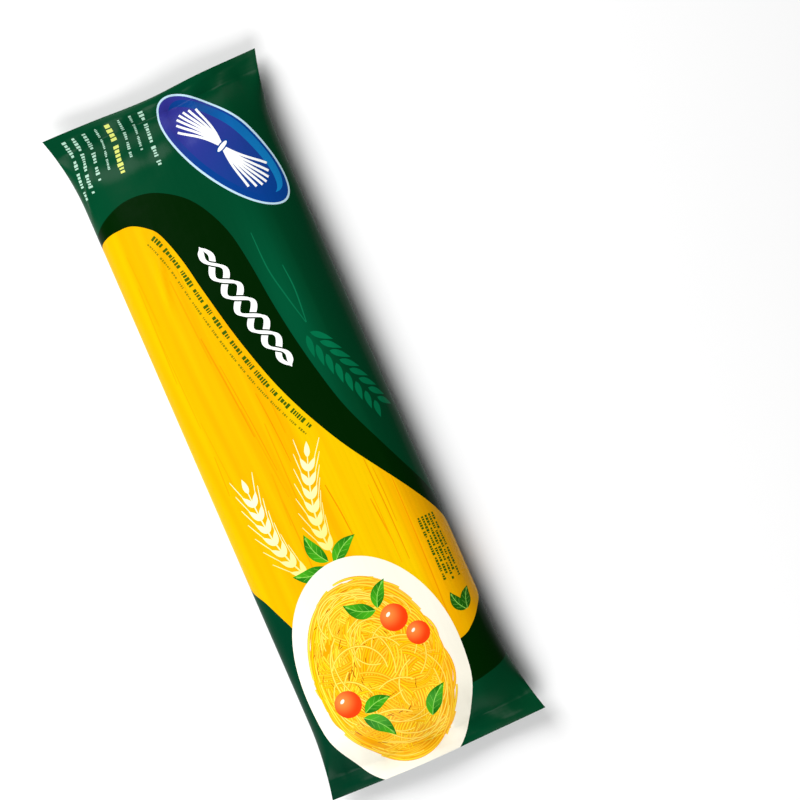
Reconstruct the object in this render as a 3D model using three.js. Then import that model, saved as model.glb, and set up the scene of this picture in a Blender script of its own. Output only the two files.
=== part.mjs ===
// A film packet of long pasta, filled, sealed flat at both ends and lying on its back.
// Millimetres. +X runs across the front from left to right, +Y along the packet towards its top end,
// and +Z up out of the printed front. The origin is on the resting surface, under the middle.
import * as THREE from "three";
import { ParametricGeometry } from "three/addons/geometries/ParametricGeometry.js";

// Driving sizes of the whole packet. Seen from the front, its left side bulges a little more than
// its right one, and most of all towards the bottom end.
const LENGTH = 295;
const THICKNESS = 26;
const LEFT_HALF = 42.9;
const RIGHT_HALF = 41.4;
const END_HALF = 47.4;
const LEFT_LEAN = 0.7;

// The end seals: two layers of film pressed together, held a little above the resting surface.
const SEAL_DEPTH = 8.5;
const SEAL_THICKNESS = 0.5;
const SEAL_HEIGHT = 10;
const EDGE_BEVEL = 0.3;

// From each seal the film climbs over the pasta's ends, and its sides flare out towards the corners.
const TAPER = 21;
const TAPER_POWER = 2.1;
const FLARE_LEFT = 34;
const FLARE_RIGHT = 42;

// The cross-section: two half superellipses that meet at the sides, the lower one flat where it rests.
const WIDEST_HEIGHT = 11.5;
const TOP_POWER = 2.15;
const BOTTOM_POWER = 2.5;
const END_POWER = 1.35;
const BOTTOM_SINK = 1.2;

// The ends' outlines: the top one dips at its middle, and the bottom one bows out there.
const TOP_DIP = 1.5;
const TOP_DIP_WIDTH = 0.4;
const TOP_SLANT = 0.5;
const BOTTOM_BOW = 1.0;
const END_REACH = 42;

// The seals curl out of their plane, and the film is gathered in soft pleats behind them.
const TOP_CURL = 1.5;
const BOTTOM_CURL = 1.2;
const CURL_TURNS = 0.75;
const CURL_REACH = 26;
const PLEAT_HEIGHT = 0.7;
const PLEAT_START = 3;
const PLEAT_REACH = 34;
const PLEATS_TOP = [5.5, 0.4];
const PLEATS_BOTTOM = [4.5, 2.1];

// How finely the surface is divided: round the packet, and along each of its stretches.
const SIDES = 72;
const SEAL_STEPS = 4;
const TAPER_STEPS = 14;
const BODY_STEPS = 16;
const STEP_POWER = 1.4;

const clamp01 = (value) => Math.min(1, Math.max(0, value));
const mix = (a, b, share) => a + (b - a) * share;
const signedPower = (value, power) => Math.sign(value) * Math.abs(value) ** power;

/** How full the packet is at a distance in from its end: 0 in the seal and 1 over the pasta. */
function fullness(inward) {
  const share = clamp01((inward - SEAL_DEPTH) / TAPER);
  return 1 - (1 - share) ** TAPER_POWER;
}

/** The packet's width from its middle plane to one side, at a station along it. */
function halfWidth(station, onRight) {
  const body = onRight ? RIGHT_HALF : LEFT_HALF - (LEFT_LEAN * station.y) / (LENGTH / 2);
  const flare = clamp01(1 - station.inward / (onRight ? FLARE_RIGHT : FLARE_LEFT));
  return body + (END_HALF - body) * flare ** 2;
}

/** How far the end's edge lies inside the packet's full length, at a place from -1 to 1 across. */
function edgeInset(across, atTop) {
  if (!atTop) return BOTTOM_BOW * across ** 2;
  const dip = TOP_DIP * Math.exp(-((across / TOP_DIP_WIDTH) ** 2));
  return dip + (TOP_SLANT * (1 - across)) / 2;
}

/** How far the seal is lifted out of its plane by its curl. */
function curl(across, inward, atTop) {
  const fade = clamp01(1 - inward / CURL_REACH) ** 2;
  const wave = Math.sin(Math.PI * 2 * CURL_TURNS * across + (atTop ? 0.6 : 2.4));
  return fade * (atTop ? TOP_CURL : BOTTOM_CURL) * wave;
}

/** Height of the pleats that gather the film behind a seal. */
function pleats(across, inward, atTop) {
  const share = (inward - PLEAT_START) / (PLEAT_REACH - PLEAT_START);
  if (share <= 0 || share >= 1) return 0;
  const [count, phase] = atTop ? PLEATS_TOP : PLEATS_BOTTOM;
  const swell = Math.sin(Math.PI * Math.sqrt(share)) * (1 - across ** 4);
  return PLEAT_HEIGHT * swell * Math.cos(Math.PI * count * across + phase);
}

/** The point of the surface at an angle round the section and a station along the packet. */
function surfacePoint(angle, station, target) {
  const atTop = station.y > 0;
  const { inward } = station;
  const full = fullness(inward);
  const half = halfWidth(station, Math.cos(angle) >= 0);
  const onFront = Math.sin(angle) >= 0;
  const power = mix(END_POWER, onFront ? TOP_POWER : BOTTOM_POWER, full);
  const across = signedPower(Math.cos(angle), 2 / power);
  const rise = Math.abs(Math.sin(angle)) ** (2 / power);
  const widest = mix(SEAL_HEIGHT, WIDEST_HEIGHT, full);
  const layer = (SEAL_THICKNESS / 2) * station.edge;
  const reach = onFront
    ? mix(layer, THICKNESS - WIDEST_HEIGHT, full)
    : mix(layer, WIDEST_HEIGHT + BOTTOM_SINK, full);
  const relief = pleats(across, inward, atTop) * (onFront ? mix(1, rise, full) : 1 - full);
  const height = widest + (onFront ? rise : -rise) * reach + curl(across, inward, atTop) + relief;
  const inset = edgeInset(across, atTop) * clamp01(1 - inward / END_REACH);
  const y = Math.sign(station.y) * (Math.abs(station.y) - inset);
  target.set(across * half, y, Math.max(0, height));
}

/** The stations along the packet, from the bottom end's edge to the top end's edge. */
function stations() {
  const inwards = [0, EDGE_BEVEL];
  for (let i = 1; i <= SEAL_STEPS; i++) inwards.push(mix(EDGE_BEVEL, SEAL_DEPTH, i / SEAL_STEPS));
  for (let i = 1; i <= TAPER_STEPS; i++) {
    inwards.push(SEAL_DEPTH + (END_REACH - SEAL_DEPTH) * (i / TAPER_STEPS) ** STEP_POWER);
  }
  const station = (side, inward, edge) => ({ y: side * (LENGTH / 2 - inward), inward, edge });
  const end = (side) => inwards.map((inward, i) => station(side, inward, i === 0 ? 0 : 1));
  const middle = [];
  for (let i = 1; i < BODY_STEPS; i++) {
    const y = mix(-1, 1, i / BODY_STEPS) * (LENGTH / 2 - END_REACH);
    middle.push({ y, inward: LENGTH / 2 - Math.abs(y), edge: 1 });
  }
  return [...end(-1), ...middle, ...end(1).reverse()];
}

/** The whole packet: film, seals and the pasta that fills it, as one closed solid. */
function packetGeometry() {
  const along = stations();
  const last = along.length - 1;
  const place = (u, v, target) => {
    surfacePoint(-2 * Math.PI * (u % 1), along[Math.round(v * last)], target);
  };
  return new ParametricGeometry(place, SIDES, last);
}

function packetMesh() {
  const material = new THREE.MeshStandardMaterial({
    color: 0x004c2b,
    roughness: 0.35,
    metalness: 0,
  });
  const mesh = new THREE.Mesh(packetGeometry(), material);
  mesh.name = "packet";
  return mesh;
}

const group = new THREE.Group();
group.add(packetMesh());

export default group;
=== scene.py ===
"""Looks of a film packet of spaghetti that lies on its back, with its printed front up.

Lengths of the packet are in millimetres, as in the solid, and become metres where a mesh is made.
A place on the film is (across, along): across runs round the packet, from the front's middle to the
right, with the back's middle at both ends, and along runs towards the top end.
"""

import math
import random
from collections import namedtuple

import bpy
import numpy as np
from mathutils import Matrix, Vector
from mathutils.geometry import delaunay_2d_cdt
from mathutils.kdtree import KDTree


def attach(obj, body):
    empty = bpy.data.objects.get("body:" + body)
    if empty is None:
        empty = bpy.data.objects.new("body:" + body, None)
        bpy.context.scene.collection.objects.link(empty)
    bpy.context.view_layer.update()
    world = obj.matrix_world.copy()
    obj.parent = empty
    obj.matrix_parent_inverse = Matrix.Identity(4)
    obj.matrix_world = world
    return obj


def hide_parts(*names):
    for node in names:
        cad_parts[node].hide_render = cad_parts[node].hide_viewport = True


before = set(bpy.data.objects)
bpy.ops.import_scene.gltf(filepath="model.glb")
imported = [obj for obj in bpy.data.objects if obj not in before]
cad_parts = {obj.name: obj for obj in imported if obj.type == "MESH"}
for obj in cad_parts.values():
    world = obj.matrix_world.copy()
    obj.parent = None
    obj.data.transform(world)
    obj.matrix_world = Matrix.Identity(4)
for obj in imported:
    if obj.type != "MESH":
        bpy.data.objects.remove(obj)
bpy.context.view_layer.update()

MM = 0.001

# The packet's form, as in the solid.
LENGTH = 295.0
THICKNESS = 26.0
LEFT_HALF = 42.9
RIGHT_HALF = 41.4
END_HALF = 47.4
LEFT_LEAN = 0.7
SEAL_DEPTH = 8.5
SEAL_THICKNESS = 0.5
SEAL_HEIGHT = 10.0
EDGE_BEVEL = 0.3
TAPER = 21.0
TAPER_POWER = 2.1
FLARE_LEFT = 34.0
FLARE_RIGHT = 42.0
WIDEST_HEIGHT = 11.5
TOP_POWER = 2.15
BOTTOM_POWER = 2.5
END_POWER = 1.35
BOTTOM_SINK = 1.2
TOP_DIP = 1.5
TOP_DIP_WIDTH = 0.4
TOP_SLANT = 0.5
BOTTOM_BOW = 1.0
END_REACH = 42.0
TOP_CURL = 1.5
BOTTOM_CURL = 1.2
CURL_PHASES = (0.6, 2.4)
CURL_TURNS = 0.75
CURL_REACH = 26.0
PLEAT_HEIGHT = 0.7
PLEAT_START = 3.0
PLEAT_REACH = 34.0
PLEATS_TOP = (5.5, 0.4)
PLEATS_BOTTOM = (4.5, 2.1)
GIRTH_HALF = 2 * END_HALF

# Finer relief of the film, which the solid leaves out.
SWELL_HEIGHT = 0.2
SWELL_ACROSS = 6.1
SWELL_ALONG = 27
SWELL_SLANT = 19
SWELL_BEND = 1.3
SWELL_SWAY = 41
SWELL_START = 12
SWELL_RISE = 30
RIB_HEIGHT = 0.015
RIB_PITCH = 1.7
RIB_RISE = 0.5
RIB_FADE = 1.0
FOLDS_PER_END = 9
FOLD_HEIGHT = 0.42
FOLD_WIDTH = 1.5
FOLD_START = 5
FOLD_RISE = 6
FOLD_SPREAD = 30
FOLD_TURN = 40
FOLD_REACHES = (16, 34)
FOLD_LEANS = (0.05, 0.2)
FOLD_ROOM = 0.94
CREASES = [(-23.5, 76.0, 14.0, 1.6, 0.8), (-38.6, 120.0, 9.0, 1.3, 0.9)]
CREASE_BEND = 3
SHOULDER = ((27.6, 96.0), (30.6, -118.0))
SHOULDER_HEIGHT = 1.7
SHOULDER_WIDTH = 10.0
SHOULDER_FADE = 0.2
RELIEF_FADE = 8
SEAM_WIDTH = 11.0
SEAM_THICKNESS = 0.3
SEAM_OFFSET = 1
SEAM_SINK = 0.05
SEAM_SHARES = (0.0, 0.02, 0.5, 0.98, 1.0)
SEAM_LIFTS = (0.02, 1.0, 1.0, 1.0, 0.02)
SEAM_SHADE = 0.9

# How finely the film's form is sampled, and then divided into faces.
SAMPLE = 0.5
ARC_SAMPLES = 720
FILM_COLUMNS = 92
SEAL_ROW = 0.6
TAPER_ROW = 1.3
BODY_ROW = 2.8
LEAST_GAP = 0.4
SEAM_ROWS = 140
OUTLINE_STEP = 1.6
LINE_STEP = 4
SAME_PLACE = 1e-6
CUT_TOLERANCE = 1e-4
WELD_PARTS = 1000

# The pasta.
STRAND_LENGTH = 250.0
STRAND_END_ROOM = 5.0
STRAND_RADIUS = 0.9
STRAND_SPACING = 2.05
LAYER_SPACING = 2.0
FILM_GAP = 0.5
STRAND_SIDES = 8
STRAND_STEPS = 8
STRAND_SHIFT = 0.08
STRAND_CUT = 1.5
STRAND_DRIFT = 0.25
STRAND_BOW = 0.12

# The photograph: its size in pixels, the packet's middle and tilt in it, and its scale.
PHOTO_SIZE = 800
PHOTO_MIDDLE = (294.0, 425.4)
PHOTO_TILT = 23.789
MM_PER_PIXEL = 0.4075
LENS = 135.0
SENSOR = 36.0

# The front's large fields, as film places.
WINDOW_EDGE = [
    (-68, 20), (-67, 52), (-61, 78), (-53, 91), (-45.6, 97.3), (-39, 99.8), (-32.9, 100.4),
    (-27.1, 99.9), (-21.4, 96.4), (-17.5, 91.7), (-13.5, 79.2), (-10.3, 62.8), (-4.8, 38.2),
    (2.8, 13.6), (14.2, -10.9), (26.9, -31.4), (38.6, -49.2), (46, -60), (51.5, -72), (51, -84),
    (46, -92), (40.9, -96.8), (35.2, -102.2), (28.2, -105.8), (8, -108), (-20, -100),
    (-33.9, -72.5), (-39.9, -61.1), (-46, -53.6), (-56, -36), (-64, -10),
]
BAND_EDGE = [
    (-66, 20), (-68.5, 52), (-63, 82), (-54, 95), (-45.7, 101.5), (-36, 107), (-26, 110.1),
    (-16, 109.5), (-8, 105.8), (-0.9, 100), (4.4, 92), (8.7, 81), (11.1, 67), (13, 49.2),
    (15.4, 32.8), (18.6, 16.4), (22.7, 0), (28.8, -16), (36.4, -32.8), (45.4, -49), (54.5, -62),
    (60, -78), (59.5, -96), (53, -112), (44.1, -120), (33, -123.4), (20, -124), (0, -118), (0, -60),
    (-30, -20),
]

# The green's painted highlight near the awns, the painted shade on its right side, and where it deepens at
# its lower end: places and reaches.
PAINTED_HIGHLIGHT_MIDDLE = (18, 40)
PAINTED_HIGHLIGHT_REACH = (8, 45)
LOW_GREEN_AT = (10, -40)
LOW_GREEN_REACH = (20, 40)
PAINTED_SHADE_AT = 20.5
PAINTED_SHADE_REACH = 11

# The window's yellow: soft steps across it (share, place, reach), the last of which deepens its right side
# as painted shade, and waves (height, length, bend).
WINDOW_BANDS_AND_SHADE = [(0.28, -38, 7), (0.3, -32, -5), (0.68, -4, 9), (-0.96, 20.5, 8)]
WINDOW_WAVES = [(0.16, 1.9, 2), (0.12, 0.83, 0)]
WINDOW_SWAY = 60
WINDOW_DRIFT = 1.6
DRIFT_LENGTH = 34

# The badge: its middle and turn, where its blue starts and ends, and its sheaf.
BADGE = np.array([19.7, 114.7])
BADGE_TURN = math.radians(-61)
BADGE_LIGHT = ((-17, 26), (14, -28))
SHEAF_SIDE = 3
SHEAF_REACH = 23
SHEAF_SPREAD = 2.1
SHEAF_TIES = ((1.5, 3.4), (0.9, 2.8))

# The dish and what lies in it.
DISH = np.array([-6.0, -104.5])
DISH_RADII = (34.0, 48.0)
WELL_RADII = (29.0, 42.0)
DISH_LEAN = 6.0
NEST = np.array([-6.3, -105.0])
NEST_RADII = np.array([27.3, 39.6])
NOODLE_BUNDLES = 96
RIM_NOODLES = 26
LOOSE_NOODLES = 46
NOODLE_GAPS = 60
NOODLE_WIDTH = 1.15
NOODLE_STEP = 1.8
NOODLE_BENDS = (9, 26)
NOODLE_REACHES = (7, 19)
LEAST_BEND = 4
LEAST_POINTS = 5
BUNDLE_SIZES = (4, 8)
BUNDLE_PITCH = 0.95
NEST_ROOM = 0.96
RIM_STEPS = 22
TOMATOES = [((7.0, -87.0), 5.6), ((13.5, -96.5), 4.8), ((-24.0, -112.0), 5.6)]
GARNISH_LEAVES = [
    ((1.5, -81.5), (-10.0, -74.5), 6.5), ((2.5, -81.0), (9.5, -71.0), 5.5),
    ((-20.5, -119.5), (-12.0, -131.5), 7.0), ((-19.0, -118.0), (-7.0, -115.5), 6.0),
    ((5.0, -130.0), (14.5, -119.0), 6.5),
]
SPRIG_LEAVES = [((35.2, -96.0), (31.4, -87.0), 4.8), ((35.8, -96.0), (39.8, -87.5), 4.8)]

# Leaves, and the cream ears over the window.
LEAF_STEPS = 12
LEAF_BEND = 0.1
LEAF_VEINS = (2, 4, 6, 8)
MIDRIB_HALF = 0.16
VEIN_HALF = 0.07
EAR_STEPS = 23
EAR_BEND = 0.12
EAR_BARE = 9
EAR_PAIRS = 7
GRAIN_SIZE = 2.7
GRAIN_LENGTH = GRAIN_SIZE * 2.4
GRAIN_WIDTH = GRAIN_SIZE * 0.85
AWN_LENGTH = 9
CREAM_EARS = [((-2, -78), (-27, -18)), ((2, -76), (1, -14))]
CREAM_LEAVES = [
    ((-9.0, -58.0), (-24.0, -56.0), 6.5), ((-8.0, -56.0), (-13.0, -42.0), 6.0),
    ((-6.0, -58.0), (6.0, -50.0), 6.0),
]

# The ear on the green: its two ends, its pairs of grains, and how far they spread from its stem.
GREEN_EAR = ((21.2, 31.5), (35.9, -3.4))
GREEN_EAR_PAIRS = 8
GREEN_EAR_SPREAD = 0.46
GREEN_GRAINS = (9.6, 7.4)
GREEN_GRAIN_WIDTH = 2.5
GREEN_OFFSET = 0.9
GREEN_GAP = (0.6, 3.3)
GREEN_AWN_WIDTH = 0.55
GREEN_AWNS = [
    [(16.4, 78), (16.8, 62), (19.2, 49), (22.2, 36)],
    [(22.8, 61), (23.4, 50), (22.4, 36)],
]

# Painted shade of the creases where strands press against the window: two film places and a width.
CREASE_SHADE_LINES = [
    ((-19.3, 47.0), (-15.2, 2.0), 0.55), ((-16.6, 34.0), (-12.2, -14.0), 0.35),
    ((-7.8, 18.0), (-5.8, -13.0), 0.4), ((3.0, -27.0), (5.2, -50.0), 0.5),
    ((21.3, -23.5), (22.1, -68.0), 0.4), ((23.2, -28.0), (23.4, -52.0), 0.3),
    ((28.6, -34.0), (27.2, -100.0), 0.45),
]
FAINT_CREASE_SHADES = 18
FAINT_SPAN = (-36, 26)
FAINT_NEAR = 1.5
FAINT_ROOM = 6

# The plait down the dark band.
PLAIT_ENDS = ((-5.0, 81.0), (10.0, 22.0))
PLAIT_WAVES = 3.5
PLAIT_SWING = 3.7
PLAIT_STEPS = 169
PLAIT_THIN = 0.55
PLAIT_THICK = 1.35
PEN_ANGLE = math.radians(-38)
PEN_POINT = 0.15
PEN_LIFT = 3.0
PLAIT_GAP = (-0.22, 0.23)
PLAIT_OVER = (-0.3, 0.31)

# The film's surface.
FILM_SHINE = 0.06
PRINT_ROUGHNESS = (0.26, 0.34)
WINDOW_ROUGHNESS = 0.26
WINDOW_COVER = 0.8
PRINT_RIDGES = 0.1
WINDOW_RIDGES = 0.12
RIDGE_SCALE = (LENGTH * 0.3, LENGTH * 0.006, 1)
CRINKLES = 0.12
CRINKLE_SCALE = LENGTH * 0.11

# The studio.
FLOOR_REACH = 4.0
KEY_SIZE = 1.0
KEYS = [("upper key", (-0.5, 0.95, 1.0), 23), ("lower key", (-0.5, -0.95, 1.0), 18)]
WORLD_LIGHT = 0.1

SQUARE = ((-1, -1), (1, -1), (1, 1), (-1, 1))

rng = np.random.default_rng(7)
Shape = namedtuple("Shape", "outline paint piece")


def clamp(value):
    return np.clip(value, 0, 1)


def mix(a, b, share):
    return a + (b - a) * share


def smooth(share):
    share = clamp(share)
    return share * share * (3 - 2 * share)


def linear(*colour):
    """A colour given as 0 to 255 in sRGB, as Blender's linear numbers."""
    value = np.array(colour) / 255
    return np.where(value <= 0.04045, value / 12.92, ((value + 0.055) / 1.055) ** 2.4)


# Colours of the print, the window and the pasta, some of them painted highlight and painted shade.
GREEN = linear(0, 65, 37)
# A painted highlight on the green field.
PAINTED_HIGHLIGHT_GREEN = linear(0, 80, 49)
# Painted shade on the green field's right side.
PAINTED_SHADE_GREEN = linear(0, 58, 31)
LOW_GREEN = linear(0, 54, 33)
DARK_GREEN = linear(0, 30, 0)
EAR_GREEN = linear(2, 104, 66)
AWN_GREEN = linear(8, 104, 68)
PALE_GREEN = linear(168, 206, 186)
LIME = linear(206, 214, 110)
WHITE = linear(250, 252, 250)
CREAM = linear(244, 239, 222)
CREAM_SHADE = linear(230, 220, 190)
BLUE = linear(8, 62, 140)
DEEP_BLUE = linear(50, 50, 140)
LIGHT_BLUE = linear(20, 126, 190)
RIM_BLUE = linear(190, 220, 236)
TEXT_GREEN = linear(58, 92, 8)
TEXT_OLIVE = linear(140, 128, 6)
DEEP_GOLD = linear(238, 160, 0)
NOODLE_TONES = [linear(253, 214, 14), linear(252, 204, 0), linear(250, 192, 0), linear(254, 228, 48)]
NOODLE_EDGE = linear(232, 142, 0)
NOODLE_GAP = linear(168, 96, 4)
LOOSE_NOODLE = linear(255, 238, 96)
TOMATO = linear(236, 62, 12)
TOMATO_LIGHT = linear(255, 136, 60)
LEAF = linear(70, 170, 24)
LEAF_DARK = linear(24, 110, 16)
LEAF_VEIN = linear(140, 206, 84)
LEAF_SPRIG = linear(30, 96, 14)
WINDOW_YELLOW = linear(255, 209, 0)
# The window's deeper yellow, which also serves as the painted shade on its right side.
WINDOW_DEEP = linear(255, 183, 0)
# Painted shade in the creases where strands press against the window.
CREASE_SHADE_YELLOW = linear(246, 156, 0)
STRAND_TONES = [linear(250, 196, 92), linear(246, 186, 70), linear(240, 176, 62), linear(252, 204, 110)]


# The film's form.


def fullness(inward):
    """How full the packet is at a distance in from its end: 0 in the seal and 1 over the pasta."""
    share = clamp((inward - SEAL_DEPTH) / TAPER)
    return 1 - (1 - share) ** TAPER_POWER


def half_width(along, inward, on_right):
    body = np.where(on_right, RIGHT_HALF, LEFT_HALF - LEFT_LEAN * along / (LENGTH / 2))
    flare = clamp(1 - inward / np.where(on_right, FLARE_RIGHT, FLARE_LEFT))
    return body + (END_HALF - body) * flare**2


def section(along, angle):
    """Where the packet's section at a station passes an angle: (share across, half width, height)."""
    inward = LENGTH / 2 - np.abs(along)
    full = fullness(inward)
    half = half_width(along, inward, np.cos(angle) >= 0)
    front = np.sin(angle) >= 0
    power = mix(END_POWER, np.where(front, TOP_POWER, BOTTOM_POWER), full)
    across = np.sign(np.cos(angle)) * np.abs(np.cos(angle)) ** (2 / power)
    rise = np.abs(np.sin(angle)) ** (2 / power)
    widest = mix(SEAL_HEIGHT, WIDEST_HEIGHT, full)
    layer = SEAL_THICKNESS / 2 * clamp(inward / EDGE_BEVEL)
    over = mix(layer, THICKNESS - WIDEST_HEIGHT, full)
    under = mix(layer, WIDEST_HEIGHT + BOTTOM_SINK, full)
    return across, half, widest + np.where(front, rise * over, -rise * under)


def curl(across, along):
    inward = LENGTH / 2 - np.abs(along)
    level = clamp(1 - inward / CURL_REACH) ** 2
    top = TOP_CURL * np.sin(math.tau * CURL_TURNS * across + CURL_PHASES[0])
    bottom = BOTTOM_CURL * np.sin(math.tau * CURL_TURNS * across + CURL_PHASES[1])
    return level * np.where(along > 0, top, bottom)


def pleats(across, along):
    inward = LENGTH / 2 - np.abs(along)
    share = clamp((inward - PLEAT_START) / (PLEAT_REACH - PLEAT_START))
    swell = np.sin(math.pi * np.sqrt(share)) * (1 - across**4)
    top = np.cos(math.pi * PLEATS_TOP[0] * across + PLEATS_TOP[1])
    bottom = np.cos(math.pi * PLEATS_BOTTOM[0] * across + PLEATS_BOTTOM[1])
    return PLEAT_HEIGHT * swell * np.where(along > 0, top, bottom)


def edge_inset(across, along):
    inward = LENGTH / 2 - np.abs(along)
    dip = TOP_DIP * np.exp(-((across / TOP_DIP_WIDTH) ** 2)) + TOP_SLANT * (1 - across) / 2
    bow = BOTTOM_BOW * across**2
    return np.where(along > 0, dip, bow) * clamp(1 - inward / END_REACH)


def fine_relief(film, along, folds):
    """The film's fine relief outwards: slow swells, the folds that leave the seals, and two creases."""
    inward = LENGTH / 2 - np.abs(along)
    across_swell = np.sin(film / SWELL_ACROSS + SWELL_BEND * np.sin(along / SWELL_SWAY))
    swell = across_swell * np.sin(along / SWELL_ALONG + film / SWELL_SLANT)
    relief = SWELL_HEIGHT * swell * smooth((inward - SWELL_START) / SWELL_RISE)
    distance = inward - FOLD_START
    for at, reach, lean, height in folds:
        middle = at * (1 - lean * distance / FOLD_TURN)
        ridge = 1 / np.cosh((film - middle) / (FOLD_WIDTH * (1 + distance / FOLD_SPREAD)))
        along_ridge = smooth(distance / FOLD_RISE) * smooth((reach - distance) / reach)
        side = np.sign(along) == np.sign(height)
        relief += side * abs(height) * ridge**2 * along_ridge
    for at, middle, reach, width, height in CREASES:
        bend = (along - middle) / reach
        relief += height * np.exp(-(((film - at - CREASE_BEND * bend) / width) ** 2) - bend**2)
    return relief + shoulder(film, along)


def shoulder(film, along):
    """The lengthwise edge where the front's flat top turns down towards its right side."""
    (top_at, top), (bottom_at, bottom) = SHOULDER
    share = (along - bottom) / (top - bottom)
    at = mix(bottom_at, top_at, share)
    level = np.exp(np.minimum(film - at, 0) / SHOULDER_WIDTH)
    turned = smooth((END_HALF - film) / (END_HALF - at))
    ends = smooth(share / SHOULDER_FADE) * smooth((1 - share) / SHOULDER_FADE)
    return SHOULDER_HEIGHT * level * turned * ends


def end_folds():
    """Places of the folds that leave each seal: (place across, reach, lean inwards, signed height)."""
    folds = []
    for sign in (1, -1):
        for i in range(FOLDS_PER_END):
            share = (i + 0.5 + rng.uniform(-0.3, 0.3)) / FOLDS_PER_END * 2 - 1
            reach = rng.uniform(*FOLD_REACHES) * (1 - 0.3 * abs(share))
            height = sign * FOLD_HEIGHT * rng.uniform(0.4, 1)
            folds.append((share * END_HALF * FOLD_ROOM, reach, rng.uniform(*FOLD_LEANS), height))
    return folds


def film_table(front):
    """Places and outward normals over a fine even grid of film places, for the front or the back."""
    along = np.linspace(-LENGTH / 2, LENGTH / 2, round(LENGTH / SAMPLE) + 1)[:, None]
    film = np.linspace(-END_HALF, END_HALF, round(2 * END_HALF / SAMPLE) + 1)
    turn = np.linspace(math.pi, 0, ARC_SAMPLES + 1)[None, :] * (1 if front else -1)
    turn[0, 0] = math.pi
    across, half, height = section(along, turn)
    x = across * half
    girth = np.cumsum(np.hypot(np.diff(x, prepend=x[:, :1]), np.diff(height, prepend=height[:, :1])), 1)
    girth = (girth / girth[:, -1:] * 2 - 1) * END_HALF

    def even(values):
        return np.array([np.interp(film, a, v) for a, v in zip(girth, values)])

    x, height, across = even(x), even(height), even(across)
    along = np.broadcast_to(along, x.shape)
    inward = LENGTH / 2 - np.abs(along)
    full = fullness(inward)
    rise = clamp(1 - np.abs(across)) ** 0.5
    share = mix(1, rise, full) if front else 1 - full
    height = height + curl(across, along) + pleats(across, along) * share
    ribs = RIB_HEIGHT * np.sin(math.tau * inward / RIB_PITCH)
    ribs = ribs * smooth((SEAL_DEPTH - inward) / RIB_FADE)
    height = height + ribs * smooth((inward - RIB_FADE) / RIB_RISE)
    inset = edge_inset(across, along)
    places = np.stack([x, np.sign(along) * (np.abs(along) - inset), height], -1)
    if front:
        relief = fine_relief(film, along, end_folds()) * smooth((END_HALF - np.abs(film)) / RELIEF_FADE)
        places = places + table_normals(places, front) * relief[..., None]
        return places, table_normals(places, front)
    floor = places[..., 2] < SEAM_THICKNESS
    places[floor, 2] = SEAM_THICKNESS
    normals = table_normals(places, front)
    normals[floor] = (0, 0, -1)
    return places, normals


def table_normals(places, front):
    across = np.gradient(places, axis=1)
    along = np.gradient(places, axis=0)
    normals = np.cross(across, along) * (1 if front else -1)
    return normals / np.linalg.norm(normals, axis=-1, keepdims=True)


def table_read(table, film, along):
    """The table's values at film places, mixed from the four nearest samples."""
    rows, columns = table.shape[:2]
    column = clamp((film + END_HALF) / (2 * END_HALF)) * (columns - 1)
    row = clamp((along + LENGTH / 2) / LENGTH) * (rows - 1)
    c = np.minimum(column.astype(int), columns - 2)
    r = np.minimum(row.astype(int), rows - 2)
    fc = (column - c)[:, None]
    fr = (row - r)[:, None]
    low = mix(table[r, c], table[r, c + 1], fc)
    high = mix(table[r + 1, c], table[r + 1, c + 1], fc)
    return mix(low, high, fr)


FRONT, FRONT_NORMALS = film_table(True)
BACK, BACK_NORMALS = film_table(False)


def film_points(places, on_front):
    """Points and outward normals of film places. The back's table counts from the back's own middle."""
    across, along = places.T
    back = np.sign(across) * GIRTH_HALF - across
    points, normals = (
        np.where(on_front[:, None], table_read(front, across, along), table_read(rear, back, along))
        for front, rear in ((FRONT, BACK), (FRONT_NORMALS, BACK_NORMALS))
    )
    return points, normals / np.linalg.norm(normals, axis=1, keepdims=True)


# Drawing on the film: every shape is an outline in film places, with a paint for its points.


def ink(outline, paint):
    """A shape in the printed film."""
    return Shape(outline, paint, "printed_film")


def towards(heading):
    return np.array([math.cos(heading), math.sin(heading)])


def left(way):
    return np.array([-way[1], way[0]])


def plain(colour):
    return lambda points: np.tile(colour, (len(points), 1))


def fade(near, far, start, end):
    """A paint that runs from one colour to another between two film places."""
    start, end = np.array(start), np.array(end)
    way = (end - start) / np.dot(end - start, end - start)
    return lambda points: mix(near, far, smooth((points - start) @ way)[:, None])


def bowl(middle_colour, rim_colour, centre, radii):
    """A paint that runs from one colour in an ellipse's middle to another at its rim."""

    def paint(points):
        away = np.hypot(*((points - np.array(centre)) / np.array(radii)).T)
        return mix(middle_colour, rim_colour, smooth(away)[:, None])

    return paint


def ellipse(centre, radii, turn, steps):
    angles = np.linspace(0, math.tau, steps, endpoint=False)
    u, v = radii[0] * np.cos(angles), radii[1] * np.sin(angles)
    x = centre[0] + u * math.cos(turn) - v * math.sin(turn)
    y = centre[1] + u * math.sin(turn) + v * math.cos(turn)
    return np.stack([x, y], 1)


def spline_piece(p0, p1, p2, p3, step):
    """Points of the smooth curve from p1 up to p2, between its neighbours p0 and p3."""
    count = max(1, round(np.linalg.norm(p2 - p1) / step))
    t = (np.arange(count) / count)[:, None]
    bend = 2 * p1 + (p2 - p0) * t + (2 * p0 - 5 * p1 + 4 * p2 - p3) * t**2
    return (bend + (3 * p1 - p0 - 3 * p2 + p3) * t**3) / 2


def smooth_loop(points):
    """A closed curve through the points, with about one point for each step of its length."""
    points = np.array(points, float)
    before, after, later = (np.roll(points, n, 0) for n in (1, -1, -2))
    pieces = [spline_piece(*four, OUTLINE_STEP) for four in zip(before, points, after, later)]
    return np.concatenate(pieces)


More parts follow.
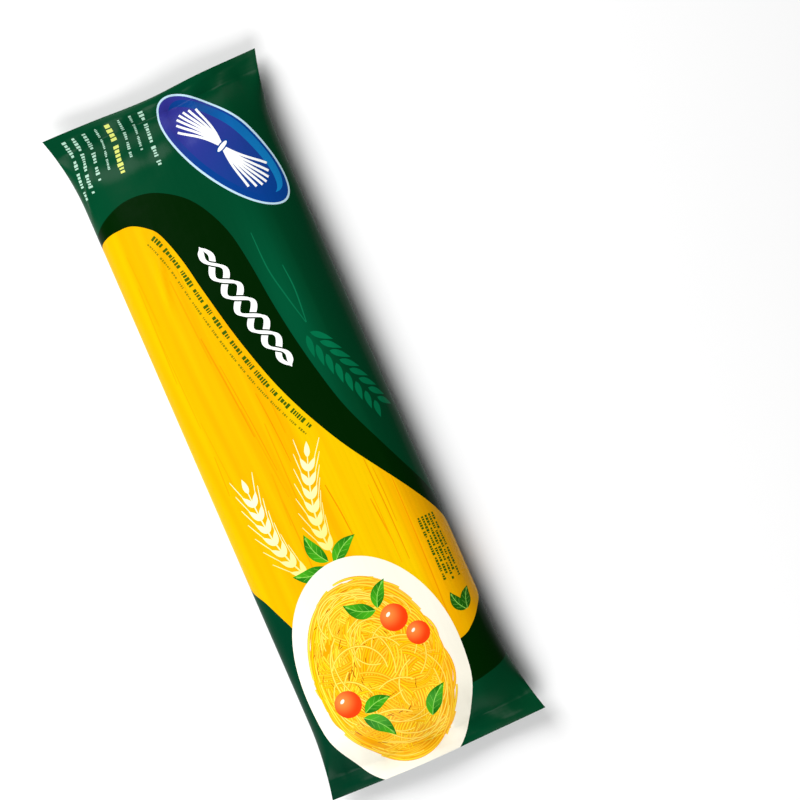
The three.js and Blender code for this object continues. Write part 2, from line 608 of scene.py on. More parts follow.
def sideways(path):
    """Unit vectors to the left of a path, one for each of its points."""
    way = np.gradient(path, axis=0)
    way /= np.linalg.norm(way, axis=1, keepdims=True)
    return np.stack([-way[:, 1], way[:, 0]], 1)


def strip(path, half_widths):
    """The outline of a stroke along a path, with a half width at each point or one for all."""
    side = sideways(path) * np.reshape(half_widths, (-1, 1))
    return np.concatenate([path + side, (path - side)[::-1]])


def stroke(path, width, paint, piece="printed_film"):
    taper = np.sin(math.pi * np.linspace(0.12, 0.88, len(path))) ** 0.5
    return Shape(strip(path, width / 2 * taper), paint, piece)


def curve(points, step=OUTLINE_STEP):
    """An open smooth path through the points."""
    points = np.array(points, float)
    bends = np.concatenate([[2 * points[0] - points[1]], points, [2 * points[-1] - points[-2]]])
    pieces = [spline_piece(*four, step) for four in zip(bends, bends[1:], bends[2:], bends[3:])]
    return np.concatenate([*pieces, points[-1:]])


def distance_to(path, points):
    """How far each point lies from a path."""
    start, way = path[:-1], np.diff(path, axis=0)
    share = ((points[:, None] - start) * way).sum(2) / (way**2).sum(1)
    nearest = start + way * clamp(share)[..., None]
    return np.linalg.norm(points[:, None] - nearest, axis=2).min(1)


def noodle(path, width, ridge):
    """A round noodle: two strips that meet on the path, where they are lightest."""

    def paint(points):
        away = distance_to(path, points)
        return mix(ridge, NOODLE_EDGE, smooth(away / (width / 2))[:, None])

    widths = width / 2 * np.sin(math.pi * np.linspace(0.1, 0.9, len(path))) ** 0.3
    side = sideways(path) * widths[:, None]
    halves = (path + side, path[::-1]), (path, (path - side)[::-1])
    return [ink(np.concatenate(half), paint) for half in halves]


def bent(start, end, bend, steps):
    """A path between two places that bends to its left by a share of its length."""
    start, end = np.array(start, float), np.array(end, float)
    share = np.linspace(0, 1, steps)[:, None]
    side = left(end - start) * bend
    return mix(start, end, share) + side * np.sin(math.pi * share)


def leaf(base, tip, width, light=LEAF, dark=LEAF_DARK):
    """A pointed leaf in two halves, with a midrib and veins."""
    rib = bent(base, tip, LEAF_BEND, LEAF_STEPS)
    half = width / 2 * np.sin(math.pi * np.linspace(0, 1, LEAF_STEPS) ** 0.8)
    side = sideways(rib) * half[:, None]
    shapes = [
        ink(np.concatenate([rib, (rib + side)[-2:0:-1]]), fade(light, dark, base, tip)),
        ink(np.concatenate([(rib - side)[1:-1], rib[::-1]]), fade(dark, light, base, tip)),
        ink(strip(rib[:-1], MIDRIB_HALF), plain(LEAF_VEIN)),
    ]
    for at in LEAF_VEINS:
        for sign in (1, -1):
            end = rib[at + 2] + sign * side[at + 2] * 0.75
            vein = strip(bent(rib[at], end, 0, 4), VEIN_HALF)
            shapes.append(ink(vein, plain(mix(light, LEAF_VEIN, 0.5))))
    return shapes


def leaves(places, *colours):
    return [shape for place in places for shape in leaf(*place, *colours)]


def grain(base, direction, length, width, paint):
    """A grain of an ear: a drop that is widest near its base."""
    share = np.linspace(0, 1, 9)
    path = np.array(base) + towards(direction) * (share * length)[:, None]
    half = width / 2 * np.sin(math.pi * share**0.75)
    side = sideways(path) * half[:, None]
    return ink(np.concatenate([path + side, (path - side)[-2:0:-1]]), paint)


def ear(root, tip, paint):
    """A wheat ear: pairs of grains up a bent stem, each with its awn."""
    stem = bent(root, tip, EAR_BEND, EAR_STEPS + 1)
    shapes = [stroke(stem, GRAIN_SIZE * 0.22, paint)]
    for i in range(EAR_PAIRS):
        at = int(EAR_BARE + i * (EAR_STEPS - EAR_BARE) / EAR_PAIRS)
        spot = stem[at]
        ahead = stem[at + 1] - spot
        heading = math.atan2(ahead[1], ahead[0])
        for side in (-1, 1):
            direction = heading + side * 0.5
            shapes.append(grain(spot, direction, GRAIN_LENGTH, GRAIN_WIDTH, paint))
            start = spot + towards(direction) * GRAIN_SIZE * 2
            end = start + towards(heading + side * 0.3) * AWN_LENGTH
            shapes.append(stroke(bent(start, end, 0, 4), GRAIN_SIZE * 0.12, paint))
    shapes.append(grain(stem[-1], heading, GRAIN_LENGTH, GRAIN_WIDTH, paint))
    return shapes


def wave_path(start, end, waves, swing, phase, steps):
    start, end = np.array(start, float), np.array(end, float)
    share = np.linspace(0, 1, steps)[:, None]
    side = left(end - start) / np.linalg.norm(end - start)
    envelope = np.sin(math.pi * share) ** 0.5
    return mix(start, end, share) + side * swing * envelope * np.sin(math.tau * waves * share + phase)


def rules(path, height, paint, least, most, gap):
    """A row of short plain marks along a path, in groups."""
    lengths = np.concatenate([[0], np.cumsum(np.linalg.norm(np.diff(path, axis=0), axis=1))])
    draw = random.Random(round(float(path.sum()) * 10))
    shapes, at = [], 0.0
    while at + least < lengths[-1]:
        for _ in range(draw.randint(3, 7)):
            end = at + draw.uniform(least, most)
            if end > lengths[-1]:
                break
            marks = np.linspace(at, end, 3)
            bar = np.stack([np.interp(marks, lengths, path[:, axis]) for axis in (0, 1)], 1)
            tall = height / 2 * draw.uniform(0.6, 1)
            shapes.append(ink(strip(bar, tall), paint))
            at = end + gap
        at += 3 * gap
    return shapes


def green_ground(points):
    """The green field: a painted highlight near the ear's awns, painted shade towards the right, and deeper
    towards the lower end.
    """
    away = ((points - PAINTED_HIGHLIGHT_MIDDLE) / PAINTED_HIGHLIGHT_REACH) ** 2
    # A painted highlight along the green near the ear's awns.
    highlight = np.exp(-away[:, 0] - away[:, 1])
    low = smooth((LOW_GREEN_AT - points) / LOW_GREEN_REACH).prod(1)
    # Painted shade towards the right side.
    side = smooth((points[:, 0] - PAINTED_SHADE_AT) / PAINTED_SHADE_REACH)
    colour = mix(mix(GREEN, PAINTED_HIGHLIGHT_GREEN, highlight[:, None]), LOW_GREEN, low[:, None])
    return mix(colour, PAINTED_SHADE_GREEN, side[:, None])


def window_tone(points):
    """The window's yellow, which deepens and pales in long soft bands, and deepens towards its right side as
    painted shade.
    """
    across, along = points.T
    drift = across + WINDOW_DRIFT * np.sin(along / DRIFT_LENGTH)
    # The last step deepens the right side as painted shade.
    tone = sum(share * smooth((drift - at) / reach) for share, at, reach in WINDOW_BANDS_AND_SHADE)
    for height, length, bend in WINDOW_WAVES:
        tone = tone + height * np.sin(drift / length + bend * np.sin(along / WINDOW_SWAY))
    return mix(WINDOW_DEEP, WINDOW_YELLOW, clamp(tone)[:, None])


def base_fields():
    """The green over the whole film, the dark band and the window."""
    ground = np.array([(x * GIRTH_HALF, y * LENGTH / 2) for x, y in SQUARE])
    return [
        ink(ground, green_ground),
        ink(smooth_loop(BAND_EDGE), plain(DARK_GREEN)),
        Shape(smooth_loop(WINDOW_EDGE), window_tone, "window_film"),
    ]


def crease_shade_lines():
    """Fine lines of painted shade in the window's yellow, along the creases where strands press against it.
    """
    shapes = []
    for start, end, width in CREASE_SHADE_LINES:
        middle = mix(np.array(start), np.array(end), 0.5) + (0.25, 0)
        path = curve([start, middle, end], LINE_STEP)
        shapes.append(stroke(path, width, plain(CREASE_SHADE_YELLOW), "window_film"))
    edge = smooth_loop(WINDOW_EDGE)
    for _ in range(FAINT_CREASE_SHADES):
        across = rng.uniform(*FAINT_SPAN)
        column = edge[np.abs(edge[:, 0] - across) < FAINT_NEAR][:, 1]
        low, high = column.min() + FAINT_ROOM, column.max() - FAINT_ROOM
        middle, reach = rng.uniform(low, high), rng.uniform(8, 24)
        ends = max(low, middle - reach), min(high, middle + reach)
        slant = rng.uniform(-0.03, 0.05) * (ends[1] - ends[0])
        path = curve([(across + slant, ends[0]), (across - slant, ends[1])], LINE_STEP)
        tone = mix(WINDOW_DEEP, CREASE_SHADE_YELLOW, rng.uniform(0.2, 0.6))
        shapes.append(stroke(path, rng.uniform(0.25, 0.6), plain(tone), "window_film"))
    return shapes


def badge():
    """A blue oval with a pale rim, and a tied sheaf of strands on it."""
    start, end = BADGE + BADGE_LIGHT
    ovals = [
        ((0, 0), (34.2, 13.6), 96, plain(RIM_BLUE)),
        ((0, 0), (33.3, 12.7), 96, fade(DEEP_BLUE, BLUE, start, BADGE)),
        ((1.4, 0.8), (29.5, 10.2), 80, fade(BLUE, LIGHT_BLUE, start, end)),
        ((-0.8, -0.4), (28.5, 9.2), 80, fade(DEEP_BLUE, BLUE, start, end)),
    ]
    shapes = [ink(ellipse(BADGE + off, size, BADGE_TURN, steps), paint) for off, size, steps, paint in ovals]
    for step in range(-SHEAF_SIDE, SHEAF_SIDE + 1):
        reach = towards(BADGE_TURN) * (SHEAF_REACH - 0.5 * step**2)
        spread = left(towards(BADGE_TURN)) * step * SHEAF_SPREAD
        path = wave_path(BADGE - reach - spread, BADGE + reach + spread, 1, 0.8, 0, 24)
        shapes.append(ink(strip(path, 0.5), plain(WHITE)))
    for radii, colour in zip(SHEAF_TIES, (BLUE, WHITE)):
        shapes.append(ink(ellipse(BADGE, radii, BADGE_TURN, 24), plain(colour)))
    return shapes


def small_print():
    """Rows of short plain marks."""
    shapes = []
    # Place across, lower end, height and colour of each row.
    rows = [
        (-40.6, 117, 2.0, PALE_GREEN), (-36.4, 118, 1.8, PALE_GREEN), (-31.6, 121, 2.0, PALE_GREEN),
        (-26.4, 124, 1.1, PALE_GREEN), (-21.3, 121, 2.7, LIME), (-16.0, 125, 1.4, PALE_GREEN),
        (-11.0, 127, 1.2, PALE_GREEN), (-6.2, 118, 2.2, PALE_GREEN),
    ]
    for across, low, height, colour in rows:
        path = np.array([(across, 144.0), (across, low)])
        shapes += rules(path, height, plain(colour), 0.25 * height, 0.6 * height, 0.22 * height)
    border = smooth_loop(WINDOW_EDGE)
    beside = border[(border[:, 0] > -19) & (border[:, 0] < 10) & (border[:, 1] > -4)]
    inside = -sideways(beside)
    shapes += rules(beside + inside * 2.8, 2.4, plain(TEXT_GREEN), 0.5, 1.3, 0.4)
    shapes += rules(beside + inside * 6.2, 1.1, plain(TEXT_OLIVE), 0.4, 1.0, 0.35)
    for i in range(5):
        path = np.array([(31.6 + i * 1.7, -54.5), (31.6 + i * 1.7, -83.0 + 3 * (i % 2))])
        shapes += rules(path, 1.25, plain(TEXT_GREEN), 0.45, 1.1, 0.26)
    return shapes


def pen_line(path, extra=0.0, colour=WHITE):
    """A line that a broad pen draws: thick across the pen's angle, and thin along it."""
    way = np.gradient(path, axis=0)
    turn = np.arctan2(way[:, 1], way[:, 0]) - PEN_ANGLE
    half = mix(PLAIT_THIN, PLAIT_THICK, np.abs(np.sin(turn))) + extra
    to_end = np.minimum(*(np.linalg.norm(path - end, axis=1) for end in PLAIT_ENDS))
    half = half * mix(PEN_POINT, 1, smooth(to_end / PEN_LIFT))
    return ink(strip(path, half), plain(colour))


def flourish():
    """Two white strands plaited down the dark band, each over the other in turn."""
    phases = (0, math.pi)
    paths = [wave_path(*PLAIT_ENDS, PLAIT_WAVES, PLAIT_SWING, phase, PLAIT_STEPS) for phase in phases]
    shapes = [pen_line(path) for path in paths]
    crossings = round(2 * PLAIT_WAVES)
    stretch = (PLAIT_STEPS - 1) / crossings
    for number in range(1, crossings):
        over = paths[number % 2]
        near, wide = (
            slice(*(round((number + share) * stretch) for share in shares))
            for shares in (PLAIT_GAP, PLAIT_OVER)
        )
        shapes += [pen_line(over[near], PLAIT_THIN, DARK_GREEN), pen_line(over[wide])]
    return shapes


def dish():
    """A cream dish with nests of noodles, cut off by the packet's bottom end."""
    shapes = [
        ink(dish_outline(DISH_RADII), plain(CREAM)),
        ink(dish_outline(WELL_RADII), bowl(CREAM_SHADE, CREAM, DISH, WELL_RADII)),
        ink(ellipse(NEST, NEST_RADII * NEST_ROOM, 0, 96), plain(DEEP_GOLD)),
    ]
    return shapes + noodles()


def dish_outline(radii):
    """An ellipse about the dish's middle, wider at its lower left."""
    outline = ellipse(DISH, radii, 0, 96)
    aside, low = clamp((DISH - outline) / radii).T
    outline[:, 0] -= DISH_LEAN * low**2 * np.sqrt(aside)
    return outline


def arc(spot, heading, radius, reach):
    """A path through a spot on an arc: its radius is positive where it bends to the left."""
    middle = spot + left(towards(heading)) * radius
    turns = np.linspace(-reach, reach, max(6, round(2 * reach / NOODLE_STEP))) / radius
    away = spot - middle
    cos, sin = np.cos(turns)[:, None], np.sin(turns)[:, None]
    return middle + away * cos + left(away) * sin


def rim_heading(angle):
    """Which way the nest's rim runs at an angle."""
    return math.atan2(NEST_RADII[1] * math.cos(angle), -NEST_RADII[0] * math.sin(angle))


def inside_run(path, radii):
    """The longest stretch of a path inside an ellipse about the nest's middle."""
    inside = np.hypot(*((path - NEST) / radii).T) < 1
    best = run = (0, 0)
    for i, held in enumerate(inside):
        run = (run[0], i + 1) if held else (i + 1, i + 1)
        best = max(best, run, key=lambda span: span[1] - span[0])
    return path[slice(*best)]


def noodles():
    """Noodles in bundles side by side, along the rim first and then every way inside, and loose ones."""
    shapes = []
    bundles = np.sort(rng.uniform(0, 1, NOODLE_BUNDLES))[::-1] ** 0.5
    order = [*bundles, *rng.uniform(0, 1, LOOSE_NOODLES) ** 0.5]
    for number, share in enumerate(order):
        loose = number >= NOODLE_BUNDLES
        room = NEST_RADII * (1.03 if share > 0.8 and not loose else NEST_ROOM)
        angle = rng.uniform(0, math.tau)
        spot = NEST + towards(angle) * (share * NEST_RADII * NEST_ROOM)
        heading = rim_heading(angle) + rng.uniform(-1, 1) * (1.7 * max(0, 0.9 - share) ** 0.6 + 0.1)
        radius = rng.uniform(*NOODLE_BENDS)
        if share < 0.6 and rng.uniform() < 0.4:
            radius = -radius
        reach = min(rng.uniform(*NOODLE_REACHES), abs(radius) * 2.2)
        count = 1 if loose else rng.integers(*BUNDLE_SIZES)
        tone = NOODLE_TONES[rng.integers(len(NOODLE_TONES))]
        for strand in range(count):
            shift = (strand - (count - 1) / 2) * NOODLE_WIDTH * BUNDLE_PITCH
            turned = heading + rng.uniform(-0.04, 0.04)
            if abs(radius - shift) < LEAST_BEND:
                continue
            start = spot + left(towards(heading)) * shift
            path = arc(start, turned, radius - shift, reach * rng.uniform(0.8, 1.1))
            path = inside_run(path, room * rng.uniform(0.97, 1.01))
            if len(path) < LEAST_POINTS:
                continue
            ridge = LOOSE_NOODLE if loose else mix(tone, LOOSE_NOODLE, rng.uniform(0, 0.35))
            width = NOODLE_WIDTH * (rng.uniform(0.6, 0.8) if loose else rng.uniform(0.9, 1.05))
            shapes += noodle(path, width, ridge)
        if number == NOODLE_BUNDLES // 2:
            shapes += rim_noodles()
        if number == NOODLE_BUNDLES - 1:
            shapes += noodle_gaps()
    return shapes


def rim_noodles():
    """Long noodles that follow the nest's rim."""
    shapes = []
    for _ in range(RIM_NOODLES):
        turns = rng.uniform(0, math.tau) + np.linspace(0, rng.uniform(0.6, 1.4), RIM_STEPS)
        share = np.linspace(*rng.uniform(0.9, 1.02, 2), RIM_STEPS)[:, None]
        path = NEST + share * NEST_RADII * np.stack([np.cos(turns), np.sin(turns)], 1)
        tone = NOODLE_TONES[rng.integers(len(NOODLE_TONES))]
        shapes += noodle(path, NOODLE_WIDTH, mix(tone, LOOSE_NOODLE, rng.uniform(0, 0.6)))
    return shapes


def noodle_gaps():
    """Short dark gaps between noodles, most of them near the nest's left side."""
    shapes = []
    for _ in range(NOODLE_GAPS):
        angle = math.pi + rng.normal(0, 1.1)
        spot = NEST + rng.uniform(0.2, 0.97) * NEST_RADII * towards(angle)
        heading = rim_heading(angle) + rng.uniform(-0.5, 0.5)
        path = arc(spot, heading, rng.uniform(8, 20), rng.uniform(0.8, 2.2))
        shapes.append(stroke(path, rng.uniform(0.2, 0.45), plain(NOODLE_GAP)))
    return shapes


def tomato(centre, radius):
    glint = centre + np.array([-0.3, 0.35]) * radius
    shine = bowl(TOMATO_LIGHT, TOMATO, glint, (radius * 1.2, radius * 1.2))
    return [
        ink(ellipse(centre, (radius, radius), 0, 48), shine),
        ink(ellipse(glint, (radius * 0.2, radius * 0.12), 0.6, 14), plain(CREAM)),
    ]


def garnish():
    tomatoes = [shape for place in TOMATOES for shape in tomato(*place)]
    return tomatoes + leaves(GARNISH_LEAVES)


def window_ornament():
    """Cream wheat ears, a leaf sprig and a tomato, printed over the window above the dish."""
    cream = fade(linear(255, 248, 200), linear(250, 222, 110), (-30, -20), (0, -60))
    ears = [shape for root, tip in CREAM_EARS for shape in ear(root, tip, cream)]
    return ears + leaves(CREAM_LEAVES) + tomato((-7.0, -62.0), 4.2)


def green_ear():
    """A large ear in paler green, with two long awns above it."""
    shapes = [stroke(curve(points), GREEN_AWN_WIDTH, plain(AWN_GREEN)) for points in GREEN_AWNS]
    start, end = np.array(GREEN_EAR)
    heading = math.atan2(end[1] - start[1], end[0] - start[0])
    for share in np.linspace(0, 1, GREEN_EAR_PAIRS):
        length = mix(*GREEN_GRAINS, share)
        for side in (-1, 1):
            way = heading + side * GREEN_EAR_SPREAD
            spot = mix(start, end, share) + side * GREEN_OFFSET * left(towards(heading))
            shapes.append(grain(spot, way, length + GREEN_GAP[0], GREEN_GAP[1], green_ground))
            shapes.append(grain(spot, way, length, GREEN_GRAIN_WIDTH, plain(EAR_GREEN)))
    return shapes


def all_shapes():
    shapes = base_fields() + crease_shade_lines() + green_ear() + badge() + flourish() + window_ornament()
    shapes += dish() + garnish() + leaves(SPRIG_LEAVES, LEAF_SPRIG, LEAF_SPRIG) + small_print()
    return shapes


# The film's mesh: one even net of places, cut along the outlines of everything printed on it.


def film_rows():
    ends = np.arange(0, SEAL_DEPTH, SEAL_ROW)
    taper = np.arange(SEAL_DEPTH, END_REACH, TAPER_ROW)
    body = np.linspace(END_REACH, LENGTH / 2, round((LENGTH / 2 - END_REACH) / BODY_ROW) + 1)
    inward = np.concatenate([ends, taper, body])
    return np.unique(np.concatenate([inward - LENGTH / 2, LENGTH / 2 - inward]).round(4))


def film_net(outlines):
    """Even net places, without those that lie close to an outline."""
    marks = np.concatenate(outlines)
    tree = KDTree(len(marks))
    for i, (x, y) in enumerate(marks):
        tree.insert((x, y, 0), i)
    tree.balance()
    columns = np.linspace(-GIRTH_HALF, GIRTH_HALF, 2 * FILM_COLUMNS + 1)
    places = []
    for along in film_rows():
        at_end = abs(abs(along) - LENGTH / 2) < SAME_PLACE
        for across in columns:
            at_fold = min(abs(abs(across) - fold) for fold in (END_HALF, GIRTH_HALF)) < SAME_PLACE
            if at_end or at_fold or tree.find((across, along, 0))[2] > LEAST_GAP:
                places.append((across, along))
    return places


def fold_edges(places):
    """Chains of edges along both side folds, so that no face crosses them."""
    edges = []
    for fold in (-END_HALF, END_HALF):
        chain = sorted((p[1], i) for i, p in enumerate(places) if abs(p[0] - fold) < SAME_PLACE)
        edges += [(a[1], b[1]) for a, b in zip(chain, chain[1:])]
    return edges


def left_about(outline):
    """The outline with its inside on its left."""
    x, y = outline[:, 0], outline[:, 1]
    area = np.dot(x, np.roll(y, -1)) - np.dot(y, np.roll(x, -1))
    return outline if area > 0 else outline[::-1]


def film_faces():
    """Film places, triangles on them, and the shape that each triangle shows."""
    shapes = all_shapes()
    outlines = [left_about(shape.outline) for shape in shapes]
    places = film_net(outlines[1:])
    edges = fold_edges(places)
    points = [Vector(place) for place in places]
    faces = []
    for outline in outlines:
        faces.append(list(range(len(points), len(points) + len(outline))))
        points += [Vector(place) for place in outline.tolist()]
    out, _, triangles, _, _, origins = delaunay_2d_cdt(points, edges, faces, 0, CUT_TOLERANCE, True)
    triangles, shown = zip(*((t, max(o)) for t, o in zip(triangles, origins) if 0 in o))
    return shapes, np.array([tuple(v) for v in out]), np.array(triangles), np.array(shown)


def add_object(name, data):
    added = bpy.data.objects.new(name, data)
    bpy.context.scene.collection.objects.link(added)
    return added


def make_mesh(name, points, faces, colours, normals=None, places=None):
    """An object from points in mm and faces, with a colour, normal and film place for each corner."""
    mesh = bpy.data.meshes.new(name)
    mesh.from_pydata((points * MM).tolist(), [], faces)
    mesh.shade_smooth()
    layer = mesh.color_attributes.new("print", "FLOAT_COLOR", "CORNER")
    layer.data.foreach_set("color", np.insert(colours, 3, 1, 1).ravel())
    if places is not None:
        layer = mesh.uv_layers.new(name="film")
        layer.uv.foreach_set("vector", (places / LENGTH).ravel())
        mesh.normals_split_custom_set(normals.tolist())
    mesh.validate()
    return add_object(name, mesh)


def film_pieces():
    shapes, places, triangles, shown = film_faces()
    corners = places[triangles.ravel()]
    on_front = np.repeat(np.abs(places[triangles].mean(1)[:, 0]) < END_HALF, 3)
    points, normals = film_points(corners, on_front)
    colours = np.zeros((len(corners), 3))
    corner_shape = np.repeat(shown, 3)
    for index in np.unique(shown):
        chosen = corner_shape == index
        colours[chosen] = shapes[index].paint(corners[chosen])
    cells = (points * WELD_PARTS).round().astype(int)
    _, first, same = np.unique(cells, axis=0, return_index=True, return_inverse=True)
    welded = same.reshape(-1, 3)
    whole = np.array([len(set(face)) == 3 for face in welded.tolist()])
    pieces = {}
    for name in ("printed_film", "window_film"):
        mine = whole & np.array([shapes[index].piece == name for index in shown])
        used, faces = np.unique(welded[mine], return_inverse=True)
        loops = np.repeat(mine, 3)
        faces = faces.reshape(-1, 3).tolist()
        loop_data = colours[loops], normals[loops], corners[loops]
        pieces[name] = make_mesh(name, points[first[used]], faces, *loop_data)
    return pieces


def around(first, last, sides):
    """Neighbours round each ring of a tube's points, from the first ring up to the last one."""
    for ring in range(first, last, sides):
        for side in range(sides):
            yield ring + side, ring + (side + 1) % sides


def back_seam():
    """The film's lengthwise seam, folded flat against the back."""
    along = np.linspace(-LENGTH / 2 + SEAL_DEPTH, LENGTH / 2 - SEAL_DEPTH, SEAM_ROWS)
    across = np.array(SEAM_SHARES) * SEAM_WIDTH - SEAM_OFFSET
    lifts = np.array(SEAM_LIFTS)[:, None] * SEAM_THICKNESS
    points = []
    for y in along:
        row = np.full(len(across), y)
        spots, out = table_read(BACK, across, row), table_read(BACK_NORMALS, across, row)
        points += list(spots + out * lifts) + list(spots[::-1] - out[::-1] * SEAM_SINK)
    ring = 2 * len(across)
    last = (len(along) - 1) * ring
    faces = [(a, b, b + ring, a + ring) for a, b in around(0, last, ring)]
    faces += [tuple(range(ring))[::-1], tuple(range(last, last + ring))]
    points = np.array(points)
    points[:, 2] = np.maximum(points[:, 2], 0)
    colours = np.tile(GREEN * SEAM_SHADE, (sum(len(face) for face in faces), 1))
    return make_mesh("back_seam", points, faces, colours)


# The pasta.


def strand_layers():
    """Where strands pass the middle of the packet: shares of the half width and of the height."""
    turn = np.linspace(0, math.tau, ARC_SAMPLES + 1)[:-1]
    across, half, height = section(np.zeros_like(turn), turn)
    rise = height - WIDEST_HEIGHT
    strands, layer = [], 0
    while True:
        depth = FILM_GAP + STRAND_RADIUS + layer * LAYER_SPACING
        under, over = WIDEST_HEIGHT - SEAM_THICKNESS - depth, THICKNESS - WIDEST_HEIGHT - depth
        if under < STRAND_RADIUS:
            break
        x = across * (half - depth)
        above = rise / (THICKNESS - WIDEST_HEIGHT) * over
        below = rise / (WIDEST_HEIGHT + BOTTOM_SINK) * (under + BOTTOM_SINK)
        z = np.maximum(np.where(rise > 0, above, below), -under)
        girth = np.concatenate([[0], np.cumsum(np.hypot(np.diff(x), np.diff(z)))])
        count = int(girth[-1] / STRAND_SPACING)
        shifts = rng.uniform(-STRAND_SHIFT, STRAND_SHIFT, count)
        at = (np.arange(count) + shifts) * girth[-1] / count
        strands += list(zip(np.interp(at, girth, x), np.interp(at, girth, z)))
        layer += 1
    return np.array(strands)


def spaghetti():
    """Every strand of the bundle, bent a little and cut to nearly one length."""
    turns = np.linspace(0, math.tau, STRAND_SIDES, endpoint=False)
    ring = [(STRAND_RADIUS * math.cos(turn), STRAND_RADIUS * math.sin(turn)) for turn in turns]
    points, faces, tones = [], [], []
    for i, (x, z) in enumerate(strand_layers()):
        start = len(points)
        ends = STRAND_LENGTH / 2 + rng.uniform(-STRAND_CUT, STRAND_CUT, 2)
        drift = rng.uniform(-STRAND_DRIFT, STRAND_DRIFT, 2)
        bow = rng.uniform(-STRAND_BOW, STRAND_BOW, 2)
        for share in np.linspace(0, 1, STRAND_STEPS + 1):
            along = mix(-ends[0], ends[1], share)
            inward = LENGTH / 2 - abs(along)
            full = float(fullness(inward - STRAND_END_ROOM))
            widest = mix(SEAL_HEIGHT, WIDEST_HEIGHT, full)
            half = float(half_width(along, inward, x >= 0)) / (RIGHT_HALF if x >= 0 else LEFT_HALF)
            wave = math.sin(math.pi * share)
            middle_x = x * min(half, 1) + drift[0] * (share - 0.5) + bow[0] * wave
            middle_z = widest + z * full + (drift[1] * (share - 0.5) + bow[1] * wave) * 0.5
            points += [(middle_x + u, along, middle_z + v) for u, v in ring]
        last = len(points) - STRAND_SIDES
        pairs = around(start, last, STRAND_SIDES)
        faces += [(a, a + STRAND_SIDES, b + STRAND_SIDES, b) for a, b in pairs]
        faces.append(tuple(range(start, start + STRAND_SIDES)))
        faces.append(tuple(range(last, last + STRAND_SIDES))[::-1])
        tone = STRAND_TONES[i % len(STRAND_TONES)] * rng.uniform(0.85, 1.0)
        tones.append(np.tile(tone, ((4 * STRAND_STEPS + 2) * STRAND_SIDES, 1)))
    return make_mesh("spaghetti", np.array(points), faces, np.concatenate(tones))


# Materials.


def new_material(name):
    material = bpy.data.materials.new(name)
    material.use_nodes = True
    tree = material.node_tree
    return material, tree, tree.nodes["Principled BSDF"], tree.nodes["Material Output"]


def feed(tree, node, inputs):
    """Set each named input of a node to a value, or link another node's output to it."""
    for name, value in inputs.items():
        if isinstance(value, bpy.types.NodeSocket):
            tree.links.new(value, node.inputs[name])
        else:
            node.inputs[name].default_value = value


def add_node(tree, kind, inputs={}):
    node = tree.nodes.new("ShaderNode" + kind)
    feed(tree, node, inputs)
    return node


def film_material(name, ridge_depth):
    """A film in its print's colours, with lengthwise ridges over the strands and soft crinkles."""
    material, tree, shader, output = new_material(name)
    place = add_node(tree, "UVMap")
    place.uv_map = "film"
    spot = place.outputs["UV"]
    stretch = add_node(tree, "Mapping", {"Scale": RIDGE_SCALE, "Vector": spot})
    ridges = add_node(tree, "TexNoise", {"Scale": 1.0, "Detail": 1.5, "Vector": stretch.outputs["Vector"]})
    crinkles = add_node(tree, "TexNoise", {"Scale": CRINKLE_SCALE, "Detail": 2.0, "Vector": spot})
    normal = {}
    for noise, depth in ((ridges, ridge_depth), (crinkles, CRINKLES)):
        inputs = {"Strength": 1.0, "Distance": depth * MM, "Height": noise.outputs["Fac"], **normal}
        normal = {"Normal": add_node(tree, "Bump", inputs).outputs["Normal"]}
    feed(tree, shader, {"Base Color": print_colour(tree), "Specular IOR Level": FILM_SHINE, **normal})
    return material, tree, shader, output, crinkles.outputs["Fac"]


def print_colour(tree):
    colour = add_node(tree, "Attribute")
    colour.attribute_name = "print"
    return colour.outputs["Color"]


def printed_material():
    material, tree, shader, _, crinkles = film_material("printed film", PRINT_RIDGES)
    least, most = PRINT_ROUGHNESS
    gloss = add_node(tree, "MapRange", {"To Min": least, "To Max": most, "Value": crinkles})
    feed(tree, shader, {"Roughness": gloss.outputs["Result"]})
    return material


def window_material():
    material, tree, shader, output, _ = film_material("yellow window film", WINDOW_RIDGES)
    shader.inputs["Roughness"].default_value = WINDOW_ROUGHNESS
    clear = add_node(tree, "BsdfTransparent", {"Color": (1.0, 0.82, 0.2, 1)})
    layers = {"Fac": WINDOW_COVER, 1: clear.outputs["BSDF"], 2: shader.outputs["BSDF"]}
    feed(tree, output, {"Surface": add_node(tree, "MixShader", layers).outputs["Shader"]})
    return material


def pasta_material():
    material, tree, shader, _ = new_material("dry spaghetti")
    speckle = add_node(tree, "TexNoise", {"Scale": 900.0, "Detail": 3.0})
    shade = add_node(tree, "Mix")
    shade.data_type = "RGBA"
    shade.blend_type = "MULTIPLY"
    deep = (0.93, 0.86, 0.7, 1)
    feed(tree, shade, {"A": print_colour(tree), "B": deep, "Factor": speckle.outputs["Fac"]})
    feed(tree, shader, {"Base Color": shade.outputs["Result"], "Roughness": 0.5})
    return material


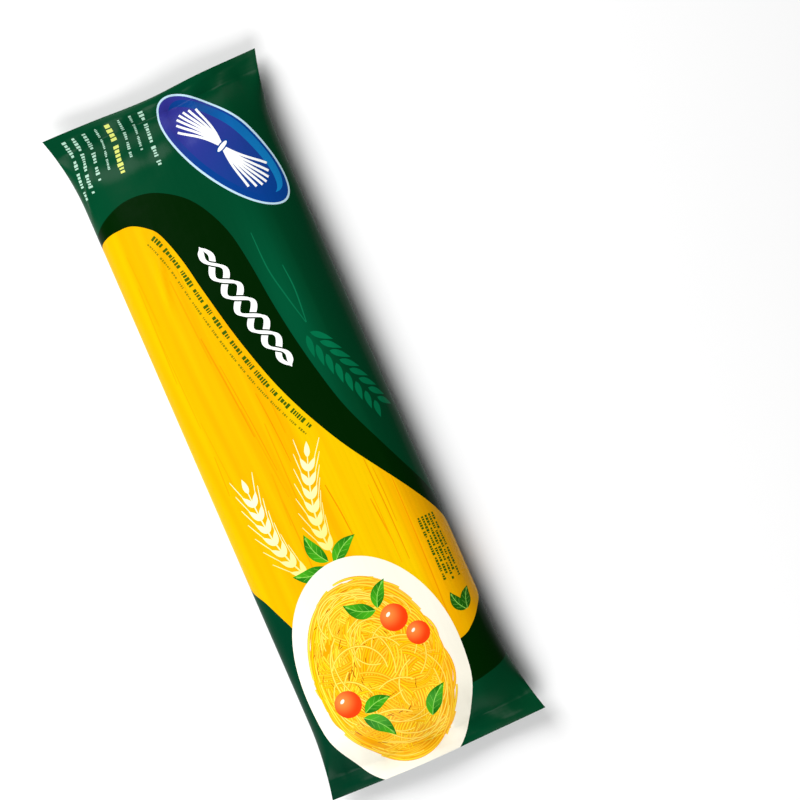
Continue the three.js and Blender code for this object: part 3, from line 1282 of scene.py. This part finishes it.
def floor_material():
    material, tree, shader, _ = new_material("pale floor")
    pale = {"Base Color": (0.9, 0.9, 0.9, 1), "Roughness": 0.9, "Specular IOR Level": 0.1}
    feed(tree, shader, pale)
    return material


# Studio: floor, lights and camera.


def studio_floor():
    mesh = bpy.data.meshes.new("floor")
    corners = [(x * FLOOR_REACH, y * FLOOR_REACH, 0) for x, y in SQUARE]
    mesh.from_pydata(corners, [], [(0, 1, 2, 3)])
    floor = add_object("floor", mesh)
    mesh.materials.append(floor_material())


def soft_light(name, spot, power):
    lamp = bpy.data.lights.new(name, "AREA")
    lamp.shape = "SQUARE"
    lamp.size = KEY_SIZE
    lamp.energy = power
    light = add_object(name, lamp)
    light.location = spot
    light.rotation_euler = (-Vector(spot)).to_track_quat("-Z", "Y").to_euler()


def studio():
    scene = bpy.context.scene
    scene.view_settings.view_transform = "Standard"
    world = bpy.data.worlds.new("studio")
    world.use_nodes = True
    background = world.node_tree.nodes["Background"]
    feed(world.node_tree, background, {"Color": (1, 1, 1, 1), "Strength": WORLD_LIGHT})
    scene.world = world
    studio_floor()
    for key in KEYS:
        soft_light(*key)


def photo_camera():
    """Looks straight down, turned so that the packet tilts as in the photograph."""
    camera = add_object("camera", bpy.data.cameras.new("camera"))
    bpy.context.scene.camera = camera
    camera.data.lens = LENS
    camera.data.sensor_width = SENSOR
    tilt = math.radians(-PHOTO_TILT)
    right, up = Vector((*towards(tilt), 0)), Vector((*left(towards(tilt)), 0))
    across, below = ((PHOTO_SIZE / 2 - pixel) * MM_PER_PIXEL * MM for pixel in PHOTO_MIDDLE)
    distance = PHOTO_SIZE * MM_PER_PIXEL * MM * LENS / SENSOR
    spot = right * across - up * below + Vector((0, 0, distance + WIDEST_HEIGHT * MM))
    camera.matrix_world = Matrix.Translation(spot) @ Matrix.Rotation(tilt, 4, "Z")


def dress(piece, material):
    piece.data.materials.append(material)
    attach(piece, "root")


photo_camera()
studio()
film = film_pieces()
printed = printed_material()
dress(film["printed_film"], printed)
dress(film["window_film"], window_material())
dress(back_seam(), printed)
dress(spaghetti(), pasta_material())
for piece in (film["printed_film"], film["window_film"]):
    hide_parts("packet")
